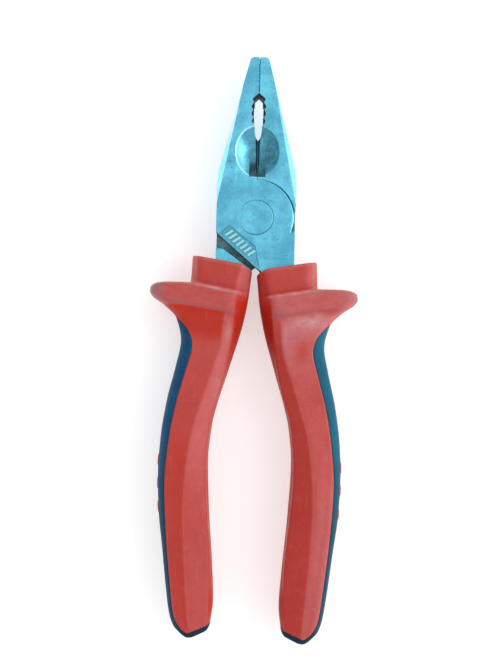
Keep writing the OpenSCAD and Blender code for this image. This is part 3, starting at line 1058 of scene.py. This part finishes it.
def dish_tones(n, colour, at, patch):
    """Painted light in the dish: a painted highlight along its left side, painted shade in patches over the
    rest, darkest along its right rim, and a thin painted highlight on its left rim.
    """
    dish = n.times(n.band(at.oval, 1.0, 0.96), n.band(at.below, 0.05, 0.2))
    up = n.minus(at.y, DISH_Y)
    beyond = n.plus(at.x, 4.2, n.times(up, 0.16), n.times(n.minus(patch, 0.5), 2.4))
    colour = n.over(colour, DISH_HIGHLIGHT, dish, n.band(beyond, 0.4, -1.6, 0.0, 0.55))
    mottle = n.times(n.band(patch, 0.3, 0.7, 0.34, 0.66), n.band(up, 3, -6, 1.0, 1.22))
    right_rim = n.times(n.band(at.oval, 0.80, 0.97), n.band(beyond, 5, 10, 0.0, 0.78))
    # grime here is painted shade, broken up in patches by the mottle.
    grime = n.times(dish, n.maths("MAXIMUM", n.times(n.band(beyond, -1.2, 1.8), mottle), right_rim))
    colour = n.over(colour, DISH_SHADE, grime)
    edge = n.between(at.oval, 0.955, 0.975, 1.01, 1.03)
    return n.over(colour, DISH_RIM_HIGHLIGHT, edge, n.band(at.x, 3, -2, 0.0, 0.6)), dish, grime


def relief_mask(n, at):
    """The lower end of the relief beside the cutting edges."""
    near_blade = n.band(n.size(at.x), 2.75, 2.68)
    return n.times(near_blade, n.band(at.y, 20.8, 18.0), n.band(at.below, 1.2, 1.6))


def panel_tones(n, colour, at, patch):
    """Painted shade on the panel's recessed floor and a painted highlight on its ribs' tops."""
    low = n.band(at.y, 2, 0)
    floor = n.between(at.below, 0.2, 0.5, 0.7, 0.9)
    colour = n.over(colour, PANEL_SHADE, floor, low, n.band(patch, 0.3, 0.6, 0.0, 0.3))
    return n.over(colour, RIB_HIGHLIGHT, n.between(at.below, 0.03, 0.05, 0.10, 0.14), low, 0.7)


def steel_material(name, seed, bevel_highlight, relief_shade):
    """Ground and plated steel; the bevels get a painted highlight in the given pair of colours, and the
    blade's relief a painted shade of the given strength.
    """
    n = Nodes(bpy.data.materials.new(name), seed, (0.137, 0.071, 0.019))
    at = SteelPlace(n)
    cloud = n.noise(90, 6, 0.65)
    patch = n.noise(330, 5, 0.65, 0.6)
    grind = n.streaks((420, 9000, 420), 0.35, 3, 0.6)
    cross_grind = n.streaks((5200, 300, 300), -0.5, 3, 0.6)
    scratches, specks, rings = steel_wear(n, at, cloud, patch)
    colour = ground_steel(n, cloud, patch)
    colour = n.over(colour, GRINDING_RING, rings, 0.32)
    colour = n.over(colour, SCRATCH, scratches, 0.5)
    colour = n.over(colour, SPECK, specks, 0.45)
    colour = n.over(colour, RIVET_LINE, rivet_line(n, at))
    # A painted highlight on the bevels, in place of the bright reflections they catch.
    painted_bevel_highlight = n.mix(n.band(at.y, 20, 32), *bevel_highlight)
    colour = n.over(colour, painted_bevel_highlight, bevel_mask(n, at), n.band(patch, 0.2, 0.7, 1.0, 0.7))
    colour, dish, grime = dish_tones(n, colour, at, patch)
    # Painted shade in the lower end of the blade's relief, strong on the front lever and weak on the rear.
    colour = n.over(colour, RELIEF_SHADE, relief_mask(n, at), dish, relief_shade)
    colour = panel_tones(n, colour, at, patch)
    # The sunk ledge is unground steel, and its dark tone also holds painted shade from the deep recess.
    sunk = n.times(n.band(at.depth, 1.6, 0.6), n.band(at.upward, 0.75, 0.95))
    colour = n.over(colour, n.mix(n.band(patch, 0.34, 0.62), LEDGE_DARK, LEDGE_PALE), sunk, 0.9)
    # dirt is the sunk ledge together with the dish's painted shade; both are made rougher.
    dirt = n.maths("MAXIMUM", sunk, grime)
    rough = n.plus(n.band(cloud, 0.25, 0.75, 0.30, 0.44), n.times(grind, 0.10), n.times(dirt, 0.2))
    bump = n.plus(n.times(grind, 0.6), n.times(cross_grind, 0.4), n.times(patch, 1.2))
    dents = n.plus(n.times(scratches, 0.8), n.times(specks, 0.6), n.times(rings, 0.5))
    return n.finish(n.minus(bump, dents), 0.4, 0.06, 0.2, Base_Color=colour, Metallic=0.92, Roughness=rough)


def scale_material(name):
    """Oily dark forging scale, on walls that were never ground."""
    n = Nodes(bpy.data.materials.new(name))
    cloud = n.noise(260, 5, 0.65)
    colour = n.mix(n.band(cloud, 0.3, 0.7), SCALE_DARK, SCALE_PALE)
    rough = n.band(cloud, 0.3, 0.7, 0.5, 0.7)
    return n.finish(cloud, 0.5, 0.08, 0.1, Base_Color=colour, Metallic=0.5, Roughness=rough)


def red_material(name, seed, shade_tone):
    """Hard red plastic: a painted sheen where its faces turn to the light, painted light and shade in a
    deeper red on its inner sides, scuffed and grimy along its edges.
    """
    n = Nodes(bpy.data.materials.new(name), seed, (0.31, 0.17, 0.05))
    blotch = n.noise(160, 5, 0.65)
    smudge = n.noise(380, 6, 0.7, 0.5)
    streaks = n.streaks((300, 640, 520), 0.25, 5, 0.65)
    lines = n.band(n.streaks((2400, 70, 70), 0.15, 2, 0.5), 0.66, 0.74)
    specks = n.band(n.noise(1100, 2, 0.5), 0.70, 0.75)
    deep = n.attribute("deep")
    colour = n.mix(n.band(n.noise(55, 5, 0.6), 0.3, 0.7), RED_LOW, RED_HIGH)
    colour = n.over(colour, RED_PALE, n.band(smudge, 0.52, 0.72, 0, 0.26))
    colour = n.over(colour, RED_DARK, n.band(smudge, 0.47, 0.28, 0, 0.34))
    # Painted light and shade: a deeper, saturated red on the inner sides and, by levels, the throat, facet
    # and palm; its specular is turned down below.
    colour = n.over(colour, shade_tone, deep)
    # A painted sheen on the faces turned to the light.
    sheen = n.times(n.attribute("sheen"), n.band(blotch, 0.2, 0.75, 0.55, 1.0))
    colour = n.over(colour, RED_SHEEN, sheen, n.band(smudge, 0.35, 0.65, 0.78, 1.0))
    # Scuffs, and below the guard a painted sheen, lighten the red.
    worn_and_sheen = n.times(n.attribute("wear_and_sheen"), n.band(streaks, 0.30, 0.70, 0.3, 1.0))
    worn_and_sheen = n.maths("ADD", worn_and_sheen, n.times(lines, 0.14), True)
    colour = n.over(colour, RED_SCUFF_AND_SHEEN, worn_and_sheen)
    colour = n.over(colour, RED_DIRT, n.attribute("grime"), n.band(streaks, 0.32, 0.62, 0.3, 1.0))
    colour = n.over(colour, RED_SPECK, specks, 0.4)
    rough = n.plus(n.band(blotch, 0.3, 0.7, 0.40, 0.52), n.times(worn_and_sheen, 0.2))
    bump = n.plus(n.times(n.noise(1500, 3, 0.6), 0.4), n.times(streaks, worn_and_sheen))
    return n.finish(bump, 0.3, 0.12, 0.3, Base_Color=colour, Roughness=rough, IOR=1.48,
                    Specular_IOR_Level=n.band(deep, 0.0, 1.0, 0.5, 0.12))


def blue_material(name, seed, dark, light):
    """Soft matte blue plastic, darker towards the bottom, with painted shade where it wraps the grip's end.
    """
    n = Nodes(bpy.data.materials.new(name), seed, (0.23, 0.11, 0.07))
    blotch = n.noise(300, 5, 0.65)
    lines = n.band(n.streaks((70, 2200, 70), 0.3, 2, 0.5), 0.67, 0.75)
    _, y, _ = n.millimetres()
    colour = n.mix(n.band(n.noise(60, 5, 0.6), 0.3, 0.7), dark, light)
    colour = n.over(colour, BLUE_DUST, n.band(blotch, 0.55, 0.8, 0, 0.3))
    colour = n.over(colour, BLUE_SCRATCH, lines, 0.25)
    colour = n.over(colour, BLUE_DARKER_DOWN, n.band(y, -62, -118, 0.0, 0.62))
    # Painted shade on the end, which faces down away from the light.
    colour = n.over(colour, BLUE_END_SHADE, n.band(y, -138, -142, 0.0, 0.85))
    rough = n.band(blotch, 0.3, 0.7, 0.5, 0.64)
    bump = n.plus(n.noise(2600, 2, 0.5), n.times(lines, -0.5))
    return n.finish(bump, 0.35, 0.1, 0.3, Base_Color=colour, Roughness=rough, IOR=1.45,
                    Specular_IOR_Level=0.10)


def floor_material():
    """Pale paper that glows a little."""
    n = Nodes(bpy.data.materials.new("floor"))
    speck = n.noise(400, 4, 0.6)
    colour = n.mix(speck, FLOOR_LOW, FLOOR_HIGH)
    return n.finish(speck, 0.05, 0.1, 0.0, Base_Color=colour, Roughness=0.9, Specular_IOR_Level=0.1,
                    Emission_Color=rgb(1, 1, 1), Emission_Strength=FLOOR_GLOW)


def inner_wall(x, y, nz):
    """True for the steel's hidden walls: the jaws' faces, the pipe grip, the lap's seam and its steps."""
    edge = -side_x(max(y, TAPER_FROM))
    return abs(nz) <= 0.5 and abs(x) < edge - 0.7 and y < JAW_REACH - 0.4


def darken_walls(obj, material):
    """Gives the hidden walls a material of their own; the dish's walls stay bright."""
    obj.data.materials.append(material)
    for polygon in obj.data.polygons:
        x, y, _ = polygon.center / MM
        in_dish = (x / DISH_W) ** 2 + ((y - DISH_Y) / DISH_L) ** 2 < 1.0 and y < PIPE_FROM
        if inner_wall(x, y, polygon.normal.z) and not in_dish:
            polygon.material_index = 1


def stand_in(obj, node, body, material):
    """Gives a piece its material, hides the CAD node it replaces and puts it on the body it rides on."""
    obj.data.materials.clear()
    obj.data.materials.append(material)
    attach(obj, body)
    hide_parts(node)


def blob(local):
    """A slow wave between 0 and 1 that breaks up the dirt."""
    x, y, z = local.T
    return 0.5 + 0.5 * np.sin(x * 0.9 + 1.3) * np.sin(y * 0.7 + z * 0.4)


# How strongly each grip's outer side carries a painted sheen, and how strongly a painted shade of deeper
# red shows in the throat, on the inner facet and at the palm.
SHEEN_AND_SHADE = {"right": (1.0, (0.0, 0.35, 0.0)), "left": (0.15, (1.0, 0.0, 0.4))}
# The largest smudges of scuffs, grime and painted sheen: what they change, their places across and along
# the grip, half sizes and strength.
SMUDGES = {
    "right": [
        ("wear_and_sheen", 11.0, 37.6, 0.9, 3.4, 0.45), ("wear_and_sheen", 20.8, 35.4, 2.6, 1.7, 0.6),
        ("wear_and_sheen", 15.5, 35.0, 2.4, 1.2, 0.3), ("wear_and_sheen", 14.0, 24.6, 3.5, 0.4, 0.35),
        ("sheen", 16.8, 44.6, 2.8, 3.6, -0.8), ("sheen", 19.0, 20.0, 3.0, 2.0, 0.3),
        ("grime", 8.8, 30.0, 1.8, 1.6, 0.45), ("grime", 13.0, 31.4, 4.0, 0.5, 0.2),
    ],
    "left": [
        ("wear_and_sheen", 8.2, 38.4, 1.0, 4.2, 0.4), ("wear_and_sheen", 12.0, 24.6, 3.0, 0.4, 0.35),
        ("sheen", 12.0, 62.0, 1.6, 14.0, 0.35),
        ("grime", 7.2, 30.6, 1.4, 1.2, 0.3), ("grime", 27.0, 30.0, 3.5, 0.7, 0.35),
    ],
}


def near(values, centre, half):
    """1 at the centre, falling off on both sides."""
    return np.exp(-(((values - centre) / half) ** 2))


class GripPlaces:
    """Where the points of a placed core lie on its grip: across, along and how high."""

    def __init__(self, obj, unplace):
        co = np.empty(len(obj.data.vertices) * 3)
        obj.data.vertices.foreach_get("co", co)
        co = co.reshape(-1, 3)
        self.local = (np.column_stack([co, np.ones(len(co))]) @ np.array(unplace).T)[:, :3] / MM
        self.x, y, z = self.local.T
        roughly = -y + tilt_at(-y, self.x)
        self.d = -y + tilt_at(roughly, self.x)
        self.high = abs(z) / half_at(self.d)
        self.front = ramp(self.high, 0.6, 0.85)
        self.ridge, self.low = ridges_at(self.d)
        self.guard_face = ramp(self.d, 24, 25) * (1 - ramp(self.d, 30.4, 31.4)) * ramp(self.high, 0.8, 0.98)
        self.guard_tip = ramp(self.x, 28, 34) * ramp(self.d, 22.9, 24.4) * (1 - ramp(self.d, 30, 32))


def wear_and_sheen_at(p, outer_sheen):
    """Where the red is scuffed pale along its edges and the ridge, with a painted sheen below the guard on
    the grip whose outer side faces the light.
    """
    x, d, high = p.x, p.d, p.high
    guard_top = near(d, 24.3, 0.55) * ramp(high, 0.75, 0.97)
    ridge_line = near(x, p.ridge, 0.35) * p.front * ramp(d, 31, 33)
    # Below the guard: a painted sheen, only on the grip whose outer side faces the light.
    below_guard = near(d, 34.5, 2.6) * p.front * ramp(x, 8, 12) * ramp(x, 10, 15) * (1 - ramp(x, 22, 26))
    collar_edge = near(x, 20.0, 0.5) * (1 - ramp(d, 22, 23.5)) * ramp(high, 0.5, 0.8)
    collar_end = near(d, GRIP_FROM + 0.1, 0.35) * ramp(high, 0.8, 0.97)
    guard = 0.7 * guard_top + 0.15 * p.guard_face + 0.3 * p.guard_tip
    collar = 0.45 * collar_edge + 0.4 * collar_end
    return guard + collar + 0.16 * ridge_line + 0.85 * unit(outer_sheen - 0.3) * below_guard


def grime_at(p, outer_sheen):
    """Where dirt has stayed: the guard's edges and tip, and the palm."""
    d, high, spotty = p.d, p.high, blob(p.local)
    lower_edge = near(d, 31.2, 0.45) * ramp(high, 0.7, 0.9)
    top_edge = near(d, 25.0, 0.3) * ramp(high, 0.7, 0.9) * ramp(spotty, 0.35, 0.75)
    tip = 0.5 * ramp(spotty, 0.2, 0.7) + 0.6 * (1 - outer_sheen) * ramp(high, 0.3, 0.8)
    palm = p.front * ramp(d, 90, 125) * ramp((p.x - p.ridge) * (2 * outer_sheen - 1), -0.5, 0.5)
    return 0.5 * lower_edge + 0.45 * top_edge + tip * p.guard_tip + 0.16 * palm


def sheen_at(p, outer_sheen):
    """Where a painted sheen makes the red dull and pale, on the faces turned to the light."""
    x, d = p.x, p.d
    upper = unit(0.25 + 0.85 * ramp(-d, -62, -34)) * p.front * ramp(d, 31.5, 34)
    palm = 0.5 * p.front * ramp(x, 20, 25) * ramp(d, 60, 100)
    outer_side = outer_sheen * np.maximum.reduce([upper, palm, 0.4 * p.guard_face]) * ramp(x - p.ridge, -1.0, 0.6)
    facet = p.front * ramp(p.ridge - x, -0.8, 1.0) * ramp(x, 4, 9) * ramp(d, 30, 36) * ramp(-d, -105, -75)
    collar = ramp(p.ridge - x, -0.4, 0.6) * (1 - ramp(d, 23.5, 26))
    facet_sheen = 1 - outer_sheen
    return np.maximum.reduce([outer_side, 0.6 * facet_sheen * facet, 0.55 * facet_sheen * collar])


def shade_tone_at(p, outer_sheen, levels):
    """Painted light and shade in a deeper red: all along the inner side, and by levels in the throat, facet
    and palm.
    """
    x, d = p.x, p.d
    inner_side = ramp(p.low - x, -0.4, 0.5) * (0.5 * outer_sheen + (1 - 0.5 * outer_sheen) * ramp(d, 23, 29))
    throat = ramp(d, 31.2, 32.5) * (1 - ramp(d, 38, 46)) * ramp(x - p.ridge, 0, 1)
    facet = ramp(p.ridge - x, -0.3, 0.5) * ramp(d, 32, 44)
    palm = ramp(x - p.ridge, -0.3, 0.5) * ramp(d, 65, 85)
    parts = [level * part for level, part in zip(levels, (throat, facet, palm))]
    return np.maximum.reduce([inner_side, *parts])


def mark_wear_and_light(obj, unplace, side):
    """Stores on the core's points where the red is scuffed and grimy, where it carries a painted sheen and
    where it carries painted shade in deeper red.
    """
    outer_sheen, shade_levels = SHEEN_AND_SHADE[side]
    p = GripPlaces(obj, unplace)
    marks = {
        "wear_and_sheen": wear_and_sheen_at(p, outer_sheen), "grime": grime_at(p, outer_sheen), "sheen": sheen_at(p, outer_sheen),
        "deep": shade_tone_at(p, outer_sheen, shade_levels),
    }
    for name, across, down, wide, long, amount in SMUDGES[side]:
        marks[name] = marks[name] + amount * near(p.x, across, wide) * near(p.d, down, long) * p.front
    for name, values in marks.items():
        attribute = obj.data.attributes.new(name, "FLOAT", "POINT")
        attribute.data.foreach_set("value", unit(values).astype(np.float32))


# ---------- the tool ----------


def place(obj, matrix):
    obj.data.transform(matrix)
    return obj


def build_levers():
    dark_steel = scale_material("dark_forging")
    # Each lever's bevels get a painted highlight in the given colours, and its blade relief a painted shade
    # of the given strength.
    for name, node, body, turn, fit, seed, bevel_highlight, relief_shade in (
        ("front_lever_forging", "upper_lever", "front_half",
         Matrix.Identity(4), RUNNING_FIT, 1, FRONT_BEVEL_HIGHLIGHT, 0.9),
        ("rear_lever_forging", "lower_lever", "rear_half",
         HALF_TURN, SEATED_FIT, 2, REAR_BEVEL_HIGHLIGHT, 0.15),
    ):
        obj = place(lever(name, fit, body == "front_half"), LIFT @ turn)
        smooth(obj, 25)
        stand_in(obj, node, body, steel_material(name + "_steel", seed, bevel_highlight, relief_shade))
        darken_walls(obj, dark_steel)
    pin = smooth(place(rivet("pivot_rivet_flush"), LIFT), 25)
    pin_steel = steel_material("rivet_steel", 3, FRONT_BEVEL_HIGHLIGHT, 0.0)
    stand_in(pin, "pivot_rivet", "rear_half", pin_steel)


def build_grips():
    for side, body, turn, seat, seed in (
        ("right", "front_half", Matrix.Identity(4), 0.0, 1),
        ("left", "rear_half", HALF_TURN, SEAT_STEP, 5),
    ):
        core, cover = grip_pieces(side)
        drop = Matrix.Translation((0, seat * MM, 0))
        core = merge_into(core, *[pad(d) for d in PAD_DISTANCES])
        place(core, drop)
        cut(core, pocket())
        place(core, LIFT @ turn)
        place(cover, LIFT @ turn @ drop)
        smooth(core, 30)
        smooth(cover, 30)
        mark_wear_and_light(core, (LIFT @ turn @ drop).inverted(), side)
        red = red_material(side + "_grip_red", seed, SHADE_TONES[side])
        # The right cover gets the lit copy of the blue, the left the shaded copy.
        blue = blue_material(side + "_cover_blue", seed, *COVER_LIT_AND_SHADED_TONES[side])
        stand_in(core, side + "_grip_core", body, red)
        stand_in(cover, side + "_grip_cover", body, blue)


# ---------- stage ----------

FLOOR_HALF = 2.0
FLOOR_GAP = 0.2
WORLD_HORIZON = 1.0
WORLD_LEFT, WORLD_RIGHT = 0.68, 1.05
KEY_PLACE, KEY_AIM, KEY_SIZE, KEY_POWER = (0.8, 0.1, 0.65), (0, -0.04, 0), (0.35, 0.8), 2.4
VIEW_CENTRE = Vector((-1.0, -39.6, 11.0)) * MM
VIEW_HEIGHT = 226.9 * MM
CAMERA_DISTANCE = 0.38
SENSOR = 36
IMAGE_TILT = radians(1.5)


def build_floor():
    z = cad_box[0][2] - FLOOR_GAP * MM
    corners = [(x * FLOOR_HALF, y * FLOOR_HALF, z) for x, y in ((-1, -1), (1, -1), (1, 1), (-1, 1))]
    mesh = bpy.data.meshes.new("floor")
    mesh.from_pydata(corners, [], [(0, 1, 2, 3)])
    floor = new_object("floor", mesh)
    floor.data.materials.append(floor_material())


def build_camera():
    data = bpy.data.cameras.new("camera")
    data.sensor_fit = "VERTICAL"
    data.sensor_height = SENSOR
    data.lens = SENSOR * CAMERA_DISTANCE / VIEW_HEIGHT
    camera = bpy.data.objects.new("camera", data)
    camera.location = VIEW_CENTRE + Vector((0, 0, CAMERA_DISTANCE))
    camera.rotation_euler = (0, 0, IMAGE_TILT)
    bpy.context.scene.collection.objects.link(camera)
    bpy.context.scene.camera = camera


def area_light(name, place_at, target, size, power):
    data = bpy.data.lights.new(name, "AREA")
    data.shape = "RECTANGLE"
    data.size, data.size_y = size
    data.energy = power
    light = bpy.data.objects.new(name, data)
    light.location = place_at
    direction = Vector(target) - Vector(place_at)
    light.rotation_euler = direction.to_track_quat("-Z", "Y").to_euler()
    bpy.context.scene.collection.objects.link(light)


def build_world():
    """Soft light from all round: brighter near the horizon and towards +X, where the key light is."""
    n = Nodes(bpy.data.worlds.new("studio"))
    x, _, z = n.split(n.places["Generated"])
    sky = n.band(x, -0.75, 0.75, WORLD_LEFT, WORLD_RIGHT)
    horizon = n.band(z, 0.02, 0.42, WORLD_HORIZON, 0.0)
    background = n.add("ShaderNodeBackground", {"Color": rgb(1, 1, 1), "Strength": n.plus(sky, horizon)})
    n.add("ShaderNodeOutputWorld", {"Surface": background.outputs[0]})
    bpy.context.scene.world = n.owner


def build_lights():
    area_light("key", KEY_PLACE, KEY_AIM, KEY_SIZE, KEY_POWER)
    build_world()
    bpy.context.scene.view_settings.view_transform = "Standard"


build_levers()
build_grips()
build_floor()
build_camera()
build_lights()
